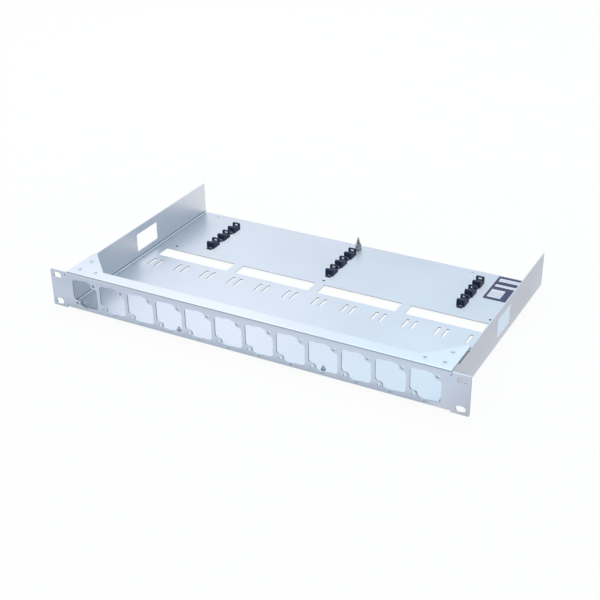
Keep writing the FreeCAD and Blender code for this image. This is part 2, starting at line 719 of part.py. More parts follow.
def cable_clip(label, x, y):
    """a moulded clip: front jaw over an arch, hollow seat, rear eye and snap pin; z = 0 is the floor"""
    body = new_body(label)
    side = new_sketch(body, f"{label}_side", "YZ_Plane")
    run = "( clip_seat_y - clip_jaw_long )"
    fall = "( clip_jaw - clip_seat )"
    hollow = f"( {run} ^ 2 + {fall} ^ 2 ) / ( 2 * {fall} )"
    outline(side, [
        ("0", "0"),
        ("clip_long", "0"),
        ("clip_long", "clip_eye"),
        ("clip_seat_y", "clip_eye"),
        ("clip_seat_y", "clip_seat", "clip_seat_y", f"clip_seat + {hollow}", -1),
        ("clip_jaw_long", "clip_jaw"),
        ("clip_jaw_edge", "clip_jaw"),
        ("0", "clip_jaw - clip_jaw_edge"),
    ])
    feature(body, "Pad", f"{label}_block", side, "clip_wide", side="Symmetric")

    eye = new_sketch(body, f"{label}_eye", "XZ_Plane", "- clip_long")
    high = "clip_eye - eye_rim"
    rectangle(eye, "- eye_wide / 2", "eye_wide / 2", f"{high} - eye_high", high)
    cut(body, f"{label}_eye_cut", eye, "clip_eye_long", reverse=True)
    arch = new_sketch(body, f"{label}_arch", "XZ_Plane")
    rectangle(arch, "- arch_wide / 2", "arch_wide / 2", "0", "arch_high")
    cut(body, f"{label}_arch_cut", arch, "clip_jaw_long")

    pin = new_sketch(body, f"{label}_pin", "XY_Plane")
    circle(pin, "0", "clip_pin_y", "clip_pin")
    feature(body, "Pad", f"{label}_pin_shank", pin, "tray_sheet", reverse=True)
    barb = new_sketch(body, f"{label}_barb", "XY_Plane", "- tray_sheet")
    circle(barb, "0", "clip_pin_y", "clip_barb")
    tip = feature(body, "Pad", f"{label}_pin_barb", barb, "clip_barb_long", reverse=True)
    tip.TaperAngle = BARB_TAPER
    doc.recompute()
    fillet = body.newObject("PartDesign::Fillet", f"{label}_rounds")
    fillet.Base = (tip, top_corners(tip.Shape))
    fillet.setExpression("Radius", bound("eye_round"))
    body.Tip = fillet
    put(body, x, y, "tray_floor")
    doc.recompute()
    return body


def top_corners(shape):
    """the eye's two outer top edges that run front to back"""
    corners = []
    for place, edge in enumerate(shape.Edges):
        box = edge.BoundBox
        level = abs(box.ZMin - size("clip_eye")) < TINY and box.ZLength < TINY
        if level and box.XLength < TINY and box.YLength > TINY:
            corners.append(f"Edge{place + 1}")
    return corners


def earth_stud():
    """a pressed-in stud, its flush head level with the floor's underside; z = 0 is the floor's top"""
    body = revolved("earth_stud", [
        ("0", "- tray_sheet"),
        ("stud_head / 2", "- tray_sheet"),
        ("stud_head / 2", "0"),
        ("stud_thread / 2", "0"),
        ("stud_thread / 2", "stud_long - stud_point"),
        ("stud_thread / 2 - stud_point", "stud_long"),
        ("0", "stud_long"),
    ])
    put(body, "0", "stud_y", "tray_floor")
    return body


def ring(label, outer, thick, level):
    """a flat washer round the earth stud"""
    body = new_body(label)
    sketch = new_sketch(body, f"{label}_outline", "XY_Plane")
    circle(sketch, "0", "0", outer)
    circle(sketch, "0", "0", "stud_thread + stud_fit")
    feature(body, "Pad", f"{label}_disc", sketch, thick)
    put(body, "0", "stud_y", f"tray_floor + {level}")
    return body


def tooth_washer(label, level):
    """the lock washer, with notches between its teeth"""
    body = ring(label, "lock_wide", "lock_thick", level)
    sketch = new_sketch(body, f"{label}_notch", "XY_Plane")
    rectangle(sketch, "lock_wide / 2 - lock_notch", "lock_wide", "- lock_notch / 2", "lock_notch / 2")
    notch = cut(body, f"{label}_first", sketch, "lock_thick", reverse=True)
    teeth = body.newObject("PartDesign::PolarPattern", f"{label}_teeth")
    teeth.Originals = [notch]
    teeth.Axis = (origin_plane(body, "Z_Axis"), [""])
    teeth.Angle = 360
    teeth.setExpression("Occurrences", bound("lock_teeth"))
    body.Tip = teeth
    doc.recompute()
    return body


def nut(label, level):
    """a hexagon nut on the earth stud, chamfered round its upper corners"""
    body = new_body(label)
    sketch = new_sketch(body, f"{label}_outline", "XY_Plane")
    flat = "nut_flats / 2"
    point = f"{flat} / cos(30 deg)"
    outline(sketch, [
        (point, "0"),
        (f"{point} / 2", flat),
        (f"- {point} / 2", flat),
        (f"- {point}", "0"),
        (f"- {point} / 2", f"- {flat}"),
        (f"{point} / 2", f"- {flat}"),
    ])
    circle(sketch, "0", "0", "stud_thread + stud_fit")
    feature(body, "Pad", f"{label}_hexagon", sketch, "nut_high")
    ring_cut = new_sketch(body, f"{label}_chamfer", "XZ_Plane")
    fall = f"( nut_flats - nut_face / 2 ) * tan({NUT_CHAMFER} deg)"
    outline(ring_cut, [
        ("nut_face / 2", "nut_high"),
        ("nut_flats", f"nut_high - {fall}"),
        ("nut_flats", "nut_high"),
    ])
    groove = body.newObject("PartDesign::Groove", f"{label}_chamfered")
    groove.Profile = ring_cut
    groove.ReferenceAxis = (ring_cut, ["V_Axis"])
    before = body.Shape.Volume
    body.Tip = groove
    doc.recompute()
    cut_check(body, before, label)
    put(body, "0", "stud_y", f"tray_floor + {level}")
    return body


def make_small_parts():
    """rivets, clips and the earth point"""
    pieces = []
    for place, (x, y) in enumerate(gusset_rivet_places()):
        side = "left" if place < 3 else "right"
        pieces.append(gusset_rivet(f"gusset_rivet_{side}_{place % 3 + 1}", x, y))
    for place, x in enumerate(floor_rivet_places()):
        pieces.append(floor_rivet(f"floor_rivet_{place + 1}", x))
    for place, (x, y) in enumerate(clip_places()):
        pieces.append(cable_clip(f"cable_clip_{place + 1}", x, y))
    pieces.append(earth_stud())
    pieces.append(ring("earth_washer", "washer_wide", "washer_thick", "0"))
    pieces.append(tooth_washer("earth_lock_washer", "washer_thick"))
    pieces.append(nut("earth_nut_lower", "washer_thick + lock_thick"))
    pieces.append(nut("earth_nut_upper", "washer_thick + lock_thick + nut_high"))
    return pieces


def check(pieces):
    """every object is up to date and every piece is a sound solid"""
    for item in doc.Objects:
        bad = [state for state in item.State if state in ("Invalid", "Error")]
        if bad:
            raise RuntimeError(f"{item.Name} is {bad}")
    for piece in pieces:
        shape = piece.Shape
        if shape.isNull() or not shape.isValid() or len(shape.Solids) != 1:
            raise RuntimeError(f"{piece.Label} is not one sound solid")


pieces = [make_panel(), make_tray()] + make_small_parts()
doc.recompute()
check(pieces)
os.makedirs("parts", exist_ok=True)
for piece in pieces:
    piece.Shape.exportStep(f"parts/{piece.Label}.step")
    box = piece.Shape.BoundBox
    print(f"{piece.Label}: {piece.Shape.Volume:.1f} mm3, "
          f"x {box.XMin:.2f} to {box.XMax:.2f}, y {box.YMin:.2f} to {box.YMax:.2f}, "
          f"z {box.ZMin:.2f} to {box.ZMax:.2f}")
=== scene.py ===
# %% [markdown]
# # A rack shelf for twelve plug-in modules
# The real object is a low steel shelf that is screwed into an equipment rack. A folded front panel with
# twelve keyed openings is riveted to a folded tray, and the tray carries nine black cable clips and an
# earth stud. Its exact shape comes from a CAD model, which is loaded here and never changed. Blender adds
# what the CAD model doesn't have: surfaces, printing, a screw thread, fine details, light and a camera.

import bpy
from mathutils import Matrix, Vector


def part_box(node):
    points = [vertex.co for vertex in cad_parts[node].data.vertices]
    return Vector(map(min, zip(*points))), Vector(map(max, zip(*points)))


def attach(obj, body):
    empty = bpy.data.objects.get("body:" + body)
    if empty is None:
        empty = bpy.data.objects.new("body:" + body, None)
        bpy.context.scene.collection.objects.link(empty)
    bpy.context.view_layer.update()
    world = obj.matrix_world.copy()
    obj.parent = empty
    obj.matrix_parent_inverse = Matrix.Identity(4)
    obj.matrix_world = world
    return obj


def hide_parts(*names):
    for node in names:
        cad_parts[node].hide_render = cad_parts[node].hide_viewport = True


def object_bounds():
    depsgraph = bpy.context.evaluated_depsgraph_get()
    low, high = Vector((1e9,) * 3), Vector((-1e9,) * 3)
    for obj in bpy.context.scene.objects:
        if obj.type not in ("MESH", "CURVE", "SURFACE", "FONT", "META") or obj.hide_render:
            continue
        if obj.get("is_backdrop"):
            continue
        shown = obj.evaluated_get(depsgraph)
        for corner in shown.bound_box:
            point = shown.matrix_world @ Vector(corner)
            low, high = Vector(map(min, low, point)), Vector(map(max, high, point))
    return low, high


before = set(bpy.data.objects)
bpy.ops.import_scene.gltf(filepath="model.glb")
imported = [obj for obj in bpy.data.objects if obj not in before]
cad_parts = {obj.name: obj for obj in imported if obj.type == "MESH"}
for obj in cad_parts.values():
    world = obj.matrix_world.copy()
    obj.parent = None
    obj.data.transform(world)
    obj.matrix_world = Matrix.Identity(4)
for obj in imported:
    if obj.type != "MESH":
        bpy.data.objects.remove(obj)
cad_low, cad_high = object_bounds()
print("CAD nodes:", len(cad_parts))

# %% [markdown]
# Everything below is in metres, in the CAD model's own frame: X runs along the panel, Y runs back from
# its face and Z is up. Millimetres read better for a thing this small, so one helper turns them into
# metres.

# %% Units
import bpy
import bmesh
import math
from mathutils import Vector

MM = 0.001
AXIS_X, AXIS_Y, AXIS_Z = range(3)


def mm(*values):
    """millimetres as a vector in metres"""
    return Vector(values) * MM


bpy.ops.object.select_all(action="DESELECT")
panel_low, panel_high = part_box("front_panel")
tray_low, tray_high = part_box("tray")
print("panel, mm:", [round(v / MM, 2) for v in panel_high - panel_low])
print("tray, mm:", [round(v / MM, 2) for v in tray_high - tray_low])

# %% [markdown]
# The camera stands in front of the panel's right half and looks down at it. Its place and its angles were
# worked out from the photograph: the rack slots are a standard distance apart, so the picture's corners
# fix where the camera was. A long lens keeps the panel's two ends nearly parallel.

# %% Camera
CAMERA_PLACE = (0.52576, -0.84715, 0.58515)
CAMERA_ANGLES = (61.5515, 0.5886, 27.8661)
CAMERA_LENS = 69.043
CAMERA_SHIFT = (-0.00987, -0.00699)

camera_data = bpy.data.cameras.new("camera")
camera = bpy.data.objects.new("camera", camera_data)
bpy.context.scene.collection.objects.link(camera)
camera.location = CAMERA_PLACE
camera.rotation_euler = [math.radians(angle) for angle in CAMERA_ANGLES]
camera_data.sensor_width = 36.0
camera_data.lens = CAMERA_LENS
camera_data.shift_x, camera_data.shift_y = CAMERA_SHIFT
bpy.context.scene.camera = camera
print("camera at", [round(v, 3) for v in camera.location])

# %% [markdown]
# A material is a small graph of nodes. It could be clicked together, but a few helpers make it readable in
# code: they make a node and set its sockets, join two sockets, turn one range of values into another, and
# start a material with its shader, its output and the coordinates that its patterns read.

# %% Node helpers


def node(tree, kind, **sockets):
    """a node of that kind, with its named inputs set"""
    made = tree.nodes.new(kind)
    for name, value in sockets.items():
        made.inputs[name.replace("_", " ")].default_value = value
    return made


def join(tree, source, target):
    """a wire from an output to an input"""
    tree.links.new(source, target)


def ramp(tree, source, low, high, start=0.0, end=1.0):
    """source from start to end, turned into values from low to high"""
    made = tree.nodes.new("ShaderNodeMapRange")
    made.clamp = True
    for name, value in (("From Min", start), ("From Max", end), ("To Min", low), ("To Max", high)):
        made.inputs[name].default_value = value
    join(tree, source, made.inputs["Value"])
    return made.outputs["Result"]


def new_material(name):
    """an empty material with a shader, its output and object coordinates"""
    made = bpy.data.materials.new(name)
    made.use_nodes = True
    tree = made.node_tree
    tree.nodes.clear()
    shader = tree.nodes.new("ShaderNodeBsdfPrincipled")
    output = tree.nodes.new("ShaderNodeOutputMaterial")
    join(tree, shader.outputs["BSDF"], output.inputs["Surface"])
    place = tree.nodes.new("ShaderNodeTexCoord")
    return made, tree, shader, place.outputs["Object"]


print("node helpers ready")

# %% [markdown]
# No real surface has one colour all over. A noise pattern brings a little unevenness into the colour, the
# roughness and the relief. Its values mostly lie between 0.3 and 0.7, so one helper spreads that range to
# two limits. The others mix two colours, add one pattern to another, and raise a small relief.

# %% Patterns and colours


def noise(tree, place, scale, detail=3.0, stretch=None):
    """a noise pattern, finer with a larger scale and drawn out along the axes with a small stretch"""
    if stretch:
        mapping = tree.nodes.new("ShaderNodeMapping")
        mapping.inputs["Scale"].default_value = stretch
        join(tree, place, mapping.inputs["Vector"])
        place = mapping.outputs["Vector"]
    made = node(tree, "ShaderNodeTexNoise", Scale=scale, Detail=detail)
    join(tree, place, made.inputs["Vector"])
    return made.outputs["Fac"]


def spread(tree, pattern, low, high, start=0.3, end=0.7):
    """a noise pattern, drawn out to values from low to high"""
    return ramp(tree, pattern, low, high, start, end)


def tint(tree, factor, first, second):
    """a colour between two colours"""
    made = tree.nodes.new("ShaderNodeMix")
    made.data_type = "RGBA"
    made.inputs[6].default_value = (*first, 1)
    made.inputs[7].default_value = (*second, 1)
    join(tree, factor, made.inputs[0])
    return made.outputs[2]


def add(tree, first, second, share=1.0):
    """first plus a share of second"""
    made = tree.nodes.new("ShaderNodeMath")
    made.operation = "MULTIPLY_ADD"
    made.inputs[1].default_value = share
    join(tree, second, made.inputs[0])
    join(tree, first, made.inputs[2])
    return made.outputs[0]


def bump(tree, shader, height, strength, distance):
    """small relief on the shader, from a height"""
    made = node(tree, "ShaderNodeBump", Strength=strength, Distance=distance)
    join(tree, height, made.inputs["Height"])
    join(tree, made.outputs["Normal"], shader.inputs["Normal"])


print("pattern helpers ready")

# %% [markdown]
# Light and shade are painted into the sheets' colour here: the edges of the openings get painted shade,
# so they are darker than the plated faces, and a thin dark line runs along each fold, a painted reflection
# on the panel and painted shade on the tray. Such marks could be painted on an image, but an image blurs
# when the camera comes close. Here the material finds them by place: a zone is a box between two corners,
# and inside it the colour changes. A second test keeps a zone to the cut faces, by where they face.

# %% Zones of a material


def parts(tree, vector):
    """the three parts of a place or a direction"""
    made = tree.nodes.new("ShaderNodeSeparateXYZ")
    join(tree, vector, made.inputs[0])
    return made.outputs


def both(tree, first, second):
    """the product of two values, or the second one where the first is missing"""
    if first is None:
        return second
    made = tree.nodes.new("ShaderNodeMath")
    made.operation = "MULTIPLY"
    join(tree, first, made.inputs[0])
    join(tree, second, made.inputs[1])
    return made.outputs[0]


def close_to(tree, source, target, slack):
    """1 where a value is within the slack of a target, else 0"""
    test = tree.nodes.new("ShaderNodeMath")
    test.operation = "COMPARE"
    test.inputs[1].default_value, test.inputs[2].default_value = target, slack
    join(tree, source, test.inputs[0])
    return test.outputs[0]


def within(tree, sources, low, high):
    """1 where three values lie between two corners in millimetres, else 0"""
    whole = None
    for source, start, end in zip(sources, low, high):
        inside = close_to(tree, source, (start + end) / 2 * MM, (end - start) / 2 * MM)
        whole = both(tree, whole, inside)
    return whole


def upright(tree, across):
    """1 on faces that stand along an axis, 0 on faces that look along it"""
    coordinates = next(item for item in tree.nodes if item.type == "TEX_COORD")
    facing = parts(tree, coordinates.outputs["Normal"])
    return close_to(tree, facing[across], 0.0, 0.5)


def recolour(tree, colour, factor, other):
    """a colour that turns into another one where the factor is 1"""
    made = tree.nodes.new("ShaderNodeMix")
    made.data_type = "RGBA"
    join(tree, factor, made.inputs[0])
    join(tree, colour, made.inputs[6])
    if isinstance(other, tuple):
        made.inputs[7].default_value = (*other, 1)
    else:
        join(tree, other, made.inputs[7])
    return made.outputs[2]


print("zone helpers ready")

# %% [markdown]
# The two sheets are zinc-plated steel. Such sheet looks satin and slightly blue. It comes off a rolling
# mill, so it has a very fine grain that runs along the sheet, and the plating leaves faint clouds a few
# centimetres across. Both are only a few percent strong: more would look like brushed kitchen steel. The
# grain also moves the roughness and a tiny bump, so that reflections are drawn out a little. The tray's
# walls are the same sheet as its floor, but the same mix gets a second, warmer and slightly darker pair of
# colours there: painted shade.

# %% Sheet steel
STEEL_DARK, STEEL_LIGHT = (0.54, 0.59, 0.68), (0.58, 0.63, 0.72)
# painted shade: a warmer, slightly darker copy of the steel's colours for the tray's walls
WALL_SHADE_DARK, WALL_SHADE_LIGHT = (0.535, 0.58, 0.643), (0.575, 0.62, 0.683)
CLOUD_SCALE, SPOT_SCALE = 14.0, 420.0
GRAIN_ALONG_X = (25.0, 900.0, 900.0)
CLOUD_SHARE, GRAIN_SHARE = 0.62, 0.38
WEAR = 0.04


def sheet_steel(name, roughness, metallic, cuts, lines, walls=None):
    """satin plated sheet, with painted shade, highlights and fold lines in zones between corners in
    millimetres
    """
    made, tree, shader, place = new_material(name)
    clouds = noise(tree, place, CLOUD_SCALE, detail=4.0)
    grain = noise(tree, place, 1.0, detail=4.0, stretch=GRAIN_ALONG_X)
    spots = noise(tree, place, SPOT_SCALE, detail=2.0)
    mixed = add(tree, spread(tree, clouds, 0.0, CLOUD_SHARE), spread(tree, grain, 0.0, GRAIN_SHARE))
    coat = tint(tree, mixed, STEEL_DARK, STEEL_LIGHT)
    size = tree.nodes.new("ShaderNodeVectorMath")
    size.operation = "ABSOLUTE"
    join(tree, place, size.inputs[0])
    spot = parts(tree, place)
    mirrored = (parts(tree, size.outputs[0])[AXIS_X], spot[AXIS_Y], spot[AXIS_Z])
    if walls:
        # the walls get painted shade, a warmer and darker copy of the same coat
        shaded_wall_coat = tint(tree, mixed, WALL_SHADE_DARK, WALL_SHADE_LIGHT)
        coat = recolour(tree, coat, within(tree, mirrored, *walls), shaded_wall_coat)
    for low, high, across, colour in cuts:
        edge = both(tree, within(tree, mirrored, low, high), upright(tree, across))
        coat = recolour(tree, coat, edge, colour)
    for low, high, colour in lines:
        coat = recolour(tree, coat, within(tree, mirrored, low, high), colour)
    join(tree, coat, shader.inputs["Base Color"])
    wiped = spread(tree, clouds, roughness - WEAR, roughness + WEAR)
    join(tree, add(tree, wiped, spots, share=0.05), shader.inputs["Roughness"])
    shader.inputs["Metallic"].default_value = metallic
    bump(tree, shader, add(tree, grain, spots, share=0.5), strength=0.12, distance=0.0002)
    return made


print("sheet steel ready, grain along X:", GRAIN_ALONG_X[0], "across:", GRAIN_ALONG_X[1])

# %% [markdown]
# Each zone of the panel is written as two corners in millimetres, the axis that its cut runs across, and a
# colour. X is mirrored, so one zone serves both ends. A zone stops a skin short of the sheet's flat faces,
# which keeps it to the cut. The cut edges get painted shade, darkest on the gussets' outer edges, as a
# painted gap shadow. The fold lines are thin strips of painted dark reflection along the outside of each
# fold.

# %% The panel's steel
# painted shade for the cut edges, and darker painted shade in slots, small holes and the gusset edges' gap
CUT_EDGE_SHADE, DEEP_EDGE_SHADE = (0.34, 0.39, 0.45), (0.12, 0.15, 0.20)
# a painted dark reflection along the panel's folds
PANEL_FOLD_REFLECTION = (0.29, 0.36, 0.45)
PANEL_SHEET, PANEL_BEND = 1.5, 3.5
FOLD_HALF = 221.0
SKIN = 0.02
FOLD_REFLECTION_FRONT, FOLD_REFLECTION_BACK, FOLD_REFLECTION_DEEP = 1.2, 2.3, 1.2

low, high = panel_low / MM, panel_high / MM
under_top = high.z - PANEL_SHEET
panel_cuts = [
    ((0, SKIN, low.z + PANEL_BEND), (high.x + 1, PANEL_SHEET - SKIN, high.z - PANEL_BEND),
     AXIS_Y, CUT_EDGE_SHADE),
    ((0, PANEL_BEND, under_top + SKIN), (FOLD_HALF - 1, high.y + 1, high.z - SKIN),
     AXIS_Z, CUT_EDGE_SHADE),
    ((FOLD_HALF - 1, PANEL_BEND, under_top), (FOLD_HALF + 1, high.y + 1, high.z - SKIN),
     AXIS_Z, DEEP_EDGE_SHADE),
]
# thin strips of painted dark reflection along the top and bottom folds
panel_lines = [
    ((0, FOLD_REFLECTION_FRONT, high.z - FOLD_REFLECTION_DEEP), (FOLD_HALF, FOLD_REFLECTION_BACK, high.z + 1), PANEL_FOLD_REFLECTION),
    ((0, FOLD_REFLECTION_FRONT, low.z - 1), (FOLD_HALF, FOLD_REFLECTION_BACK, low.z + FOLD_REFLECTION_DEEP), PANEL_FOLD_REFLECTION),
]
panel_steel = sheet_steel(
    "panel_steel", roughness=0.32, metallic=1.0, cuts=panel_cuts, lines=panel_lines)
print(panel_steel.name, "has", len(panel_cuts), "cuts and", len(panel_lines), "lines")

# %% [markdown]
# The tray's floor has four rows of cuts, one behind another, so a short table gives each row's place and
# colour. Their edges get painted shade, darker in the tie slots and the plain holes than in the windows and
# the rear holes. The cut edges of the windows in the walls get a painted highlight instead. Two lines get
# painted shade: the inner fold along each wall, and the rear part of each bent tab's fold.

# %% The tray's steel
# a painted highlight on the cut edges of the wall windows
WINDOW_EDGE_HIGHLIGHT = (0.90, 0.93, 0.96)
# painted shade along the tray's inner folds and tab folds
WALL_FOLD_SHADE = (0.19, 0.24, 0.29)
TRAY_SHEET, TRAY_BEND = 1.0, 2.0
# the cut edges of each row get painted shade
FLOOR_CUTS = [
    ("tie slots", 118, 142, DEEP_EDGE_SHADE),
    ("windows", 146, 171, CUT_EDGE_SHADE),
    ("plain holes", 174, 180, DEEP_EDGE_SHADE),
    ("rear holes", 268, 274, CUT_EDGE_SHADE),
]
WALL_WINDOW_FRONT, WALL_WINDOW_BACK, WALL_WINDOW_RISE = 120, 180, 9.8
FOLD_LINE_HALF, FOLD_LINE_HIGH = 0.12, 1.3
TAB_LINE_FRONT, TAB_LINE_BACK = 20, 47

low, high = tray_low / MM, tray_high / MM
side, rise, tab_fall = high.x - TRAY_SHEET, low.z + TRAY_BEND, high.z - TRAY_BEND
tray_cuts = []
foot, top = low.z + SKIN, low.z + TRAY_SHEET - SKIN
for title, front, back, colour in FLOOR_CUTS:
    tray_cuts.append(((0, front, foot), (side, back, top), AXIS_Z, colour))
    print(title, "from", front, "to", back, "mm")
# the cut edges of the wall windows get a painted highlight
tray_cuts.append((
    (side + SKIN, WALL_WINDOW_FRONT, low.z + WALL_WINDOW_RISE),
    (high.x - SKIN, WALL_WINDOW_BACK, tab_fall), AXIS_X, WINDOW_EDGE_HIGHLIGHT))
# painted shade along the inner folds and the rear part of the tab folds
tray_lines = [
    ((side - FOLD_LINE_HALF, 0, rise), (side + FOLD_LINE_HALF, high.y, rise + FOLD_LINE_HIGH),
     WALL_FOLD_SHADE),
    ((side - 1, TAB_LINE_FRONT, tab_fall), (high.x + 1, TAB_LINE_BACK, high.z + 1), WALL_FOLD_SHADE),
]
# the zone where the walls get painted shade
walls = ((side - SKIN, 0, rise), (high.x + 1, high.y + 1, tab_fall))
tray_steel = sheet_steel(
    "tray_steel", roughness=0.36, metallic=0.8, cuts=tray_cuts, lines=tray_lines, walls=walls)
print(tray_steel.name, "has", len(tray_cuts), "cuts and", len(tray_lines), "lines")

# %% [markdown]
# The small metal parts are plated too, but they are turned or stamped, so they are brighter and smoother
# than the sheet, with fine rings of tool marks and a few darker stains in the plating.

# %% Small metal parts
STAIN_SCALE = 260.0
RINGS_ALONG_Z = (500.0, 500.0, 6000.0)


def small_metal(name, dark, light, roughness):
    """bright plated steel with fine marks"""
    made, tree, shader, place = new_material(name)
    stains = noise(tree, place, STAIN_SCALE, detail=3.0)
    marks = noise(tree, place, 1.0, detail=2.0, stretch=RINGS_ALONG_Z)
    colour = tint(tree, spread(tree, stains, 0.0, 1.0, start=0.35, end=0.65), dark, light)
    join(tree, colour, shader.inputs["Base Color"])
    join(tree, spread(tree, stains, roughness - 0.05, roughness + 0.08), shader.inputs["Roughness"])
    shader.inputs["Metallic"].default_value = 1.0
    bump(tree, shader, marks, strength=0.15, distance=0.0001)
    return made


rivet_steel = small_metal(
    "rivet_steel", dark=(0.48, 0.53, 0.61), light=(0.56, 0.61, 0.69), roughness=0.34)
fastener_steel = small_metal(
    "fastener_steel", dark=(0.22, 0.24, 0.25), light=(0.60, 0.63, 0.63), roughness=0.24)
print("small metal materials:", rivet_steel.name, fastener_steel.name)

# %% [markdown]
# The clips are black moulded nylon. Such moulds are often spark-eroded, which leaves a fine matt texture,
# and the plastic keeps a soft shine. Black plastic is never fully black: a dark navy with a little
# variation looks right.

# %% Nylon
NYLON_DARK, NYLON_LIGHT = (0.004, 0.012, 0.038), (0.012, 0.025, 0.068)
PATCH_SCALE, GRIT_SCALE = 300.0, 3800.0


def nylon(name):
    """black moulded plastic with a fine matt texture"""
    made, tree, shader, place = new_material(name)
    patches = noise(tree, place, PATCH_SCALE, detail=3.0)
    grit = noise(tree, place, GRIT_SCALE, detail=2.0)
    colour = tint(tree, spread(tree, patches, 0.0, 1.0), NYLON_DARK, NYLON_LIGHT)
    join(tree, colour, shader.inputs["Base Color"])
    join(tree, spread(tree, patches, 0.36, 0.48), shader.inputs["Roughness"])
    shader.inputs["Specular IOR Level"].default_value = 0.2
    bump(tree, shader, grit, strength=0.25, distance=0.00005)
    return made


clip_plastic = nylon("clip_plastic")
print("plastic:", clip_plastic.name)

# %% [markdown]
# Every piece of the CAD model now gets its finish. The names of the pieces start with what they are, so a
# small table from the start of a name to a material is enough, and no piece is dressed by hand.

# %% Dress the CAD nodes
FINISHES = {
    "front_panel": panel_steel,
    "tray": tray_steel,
    "gusset_rivet": rivet_steel,
    "floor_rivet": rivet_steel,
    "cable_clip": clip_plastic,
    "earth": fastener_steel,
}


def dress(piece, material):
    """give all of a piece one material"""
    piece.data.materials.clear()
    piece.data.materials.append(material)


for name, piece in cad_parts.items():
    key = next(start for start in FINISHES if name.startswith(start))
    dress(piece, FINISHES[key])
    print(name, "is", FINISHES[key].name)

# %% [markdown]
# The numbers 1 to 12 are printed on the panel under the openings, in small grey figures. Screen-printed
# ink is never quite even, so a fine noise varies its shade, its shine and its height a little.

# %% Ink
INK_SCALE = 900.0


def ink(name, dark, light):
    """screen-printed ink, slightly uneven"""
    made, tree, shader, place = new_material(name)
    cover = noise(tree, place, INK_SCALE, detail=3.0)
    join(tree, tint(tree, spread(tree, cover, 0.0, 1.0), dark, light), shader.inputs["Base Color"])
    join(tree, ramp(tree, cover, 0.45, 0.6), shader.inputs["Roughness"])
    bump(tree, shader, cover, strength=0.1, distance=0.00002)
    return made


number_ink = ink("number_ink", dark=(0.10, 0.11, 0.13), light=(0.15, 0.16, 0.19))
print("ink:", number_ink.name)

# %% [markdown]
# A text object is the natural start for a figure, and its place is worked out from the openings' spacing.
# It is turned upright, given the thickness of a coat of ink, made a mesh, and placed by its mesh so that
# the object itself stays at the origin. A figure fills about 0.7 of its text's size.

# %% Printed numbers
BAY_COUNT = 12
BAY_PITCH = 35.8
NUMBER_HIGH = 2.6
NUMBER_FOOT = 3.4
CAPITAL_SHARE = 0.7
INK_THICK = 0.02
panel_foot = panel_low.z / MM


def settle(piece):
    """put a piece's place, turn and size into its mesh"""
    bpy.ops.object.select_all(action="DESELECT")
    piece.select_set(True)
    bpy.context.view_layer.objects.active = piece
    bpy.ops.object.transform_apply(location=True, rotation=True, scale=True)
    piece.select_set(False)


def printed_number(value, x):
    """one figure on the panel's face, its middle at x millimetres"""
    bpy.ops.object.text_add(location=(0, 0, 0))
    words = bpy.context.object
    words.name = f"number_{value}"
    words.data.body = str(value)
    words.data.align_x = "CENTER"
    words.data.size = NUMBER_HIGH * MM / CAPITAL_SHARE
    words.data.extrude = INK_THICK * MM / 2
    words.rotation_euler = (math.radians(90), 0, 0)
    words.location = mm(x, -INK_THICK / 2, panel_foot + NUMBER_FOOT)
    bpy.ops.object.convert(target="MESH")
    piece = bpy.context.object
    settle(piece)
    dress(piece, number_ink)
    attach(piece, "root")
    return piece


for value in range(1, BAY_COUNT + 1):
    figure = printed_number(value, (value - (BAY_COUNT + 1) / 2) * BAY_PITCH)
print("numbers printed:", BAY_COUNT, "last one has", len(figure.data.polygons), "faces")

# %% [markdown]
# Some small parts are worth modelling again in Blender, because a camera that comes close sees things
# that the CAD model leaves out: the low loop in front of a clip, a screw thread, the pit in a rivet's
# head. They are shaped as by hand, in edit mode. With no window open, faces can't be clicked, so they are
# picked in code, by the place of their middle in millimetres.

# %% Editing helpers


def begin(piece):
    """open one piece in edit mode with nothing selected"""
    bpy.ops.object.select_all(action="DESELECT")
    piece.select_set(True)
    bpy.context.view_layer.objects.active = piece
    bpy.ops.object.mode_set(mode="EDIT")
    bpy.ops.mesh.select_all(action="DESELECT")


def end():
    """leave edit mode and let go of the piece"""
    bpy.ops.object.mode_set(mode="OBJECT")
    bpy.ops.object.select_all(action="DESELECT")


def middle(item):
    """the middle of a vertex, an edge or a face, in millimetres"""
    if isinstance(item, bmesh.types.BMVert):
        return item.co / MM
    return sum((corner.co for corner in item.verts), Vector()) / len(item.verts) / MM


def pick(piece, kind, test):
    """select the VERT, EDGE or FACE items whose middle passes the test"""
    bpy.ops.mesh.select_mode(type=kind)
    bpy.ops.mesh.select_all(action="DESELECT")
    mesh = bmesh.from_edit_mesh(piece.data)
    items = {"VERT": mesh.verts, "EDGE": mesh.edges, "FACE": mesh.faces}[kind]
    found = [item for item in items if test(middle(item))]
    for item in found:
        item.select_set(True)
    mesh.select_flush_mode()
    bmesh.update_edit_mesh(piece.data)
    return len(found)


def near(value, target, slack=0.02):
    """true where two lengths in millimetres are the same"""
    return abs(value - target) < slack


def move(*values):
    """move what is selected by millimetres"""
    bpy.ops.transform.translate(value=mm(*values))


print("editing helpers ready")

# %% [markdown]
# The clips and the label start as a box. Modifiers finish what is moulded or turned: a Boolean cuts or
# joins, and a Bevel rounds what is still sharp. The Bevel's clamp narrows it where edges would meet. The
# floor rivets get its full width, but the gusset rivets keep only a trace of it and the clips none at all,
# so their edges stay sharp. Switching the clamp off would round them.

# %% Blocks, cuts and edges


def block(name, low, high):
    """a box between two corners in millimetres, as the start of a piece"""
    low, high = Vector(low), Vector(high)
    bpy.ops.mesh.primitive_cube_add(size=1, location=(low + high) / 2 * MM)
    piece = bpy.context.object
    piece.name = name
    piece.scale = (high - low) * MM
    settle(piece)
    return piece


